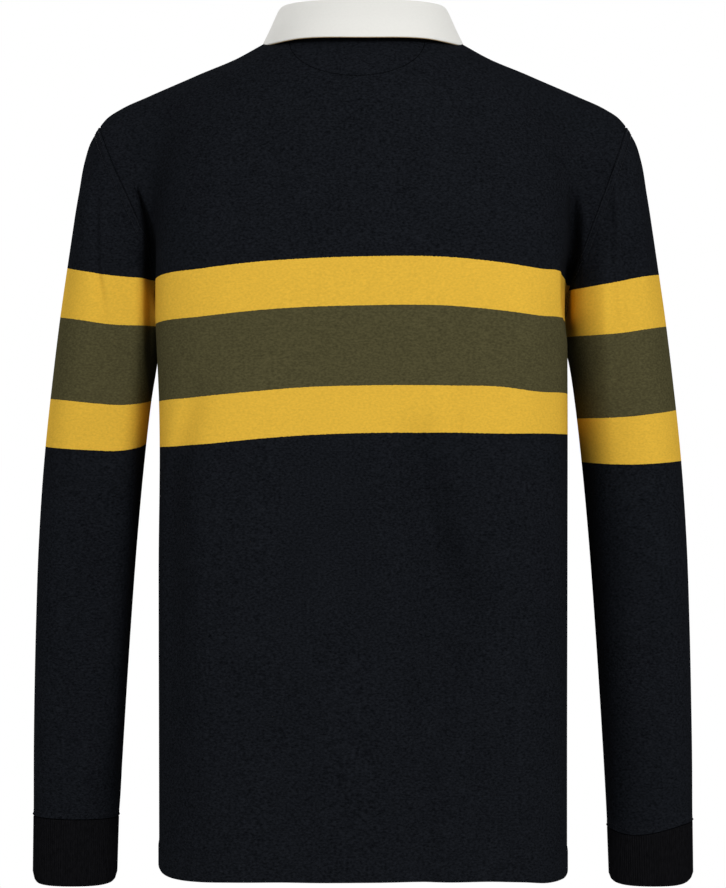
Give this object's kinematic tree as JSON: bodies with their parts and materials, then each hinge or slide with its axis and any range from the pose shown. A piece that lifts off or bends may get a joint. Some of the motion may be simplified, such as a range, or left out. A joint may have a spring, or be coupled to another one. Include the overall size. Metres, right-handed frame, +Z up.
{
  "type": "rugby shirt",
  "caption": "Long-sleeved jersey rugby shirt with a folded twill collar, a half placket and ribbed cuffs, filled out as if worn and hollow inside.",
  "frame": {"origin": "inside the neck, midway between the shoulders and level with the points where the shoulder seams reach the neck seam, where a hanger's hook or a figure's neck holds the shirt", "axes": "+Z up, +Y towards the wearer's back, -Y towards the front with the placket, +X towards the wearer's left sleeve"},
  "size_m": [0.5902, 0.2611, 0.7769],
  "materials": {
    "navy_jersey": "matte fine cotton jersey",
    "black_rib": "matte ribbed knit",
    "ecru_twill": "matte cotton twill",
    "ecru_rubber": "satin moulded rubber"
  },
  "bodies": {
    "root": {"back": "navy_jersey", "front": "navy_jersey", "sleeve_left": "navy_jersey", "sleeve_right": "navy_jersey", "cuff_left": "black_rib", "cuff_right": "black_rib", "collar": "ecru_twill", "placket_upper": "ecru_twill", "placket_under": "ecru_twill", "button_1": "ecru_rubber", "button_2": "ecru_rubber", "button_3": "ecru_rubber", "neck_patch": "navy_jersey"}
  },
  "joints": []
}
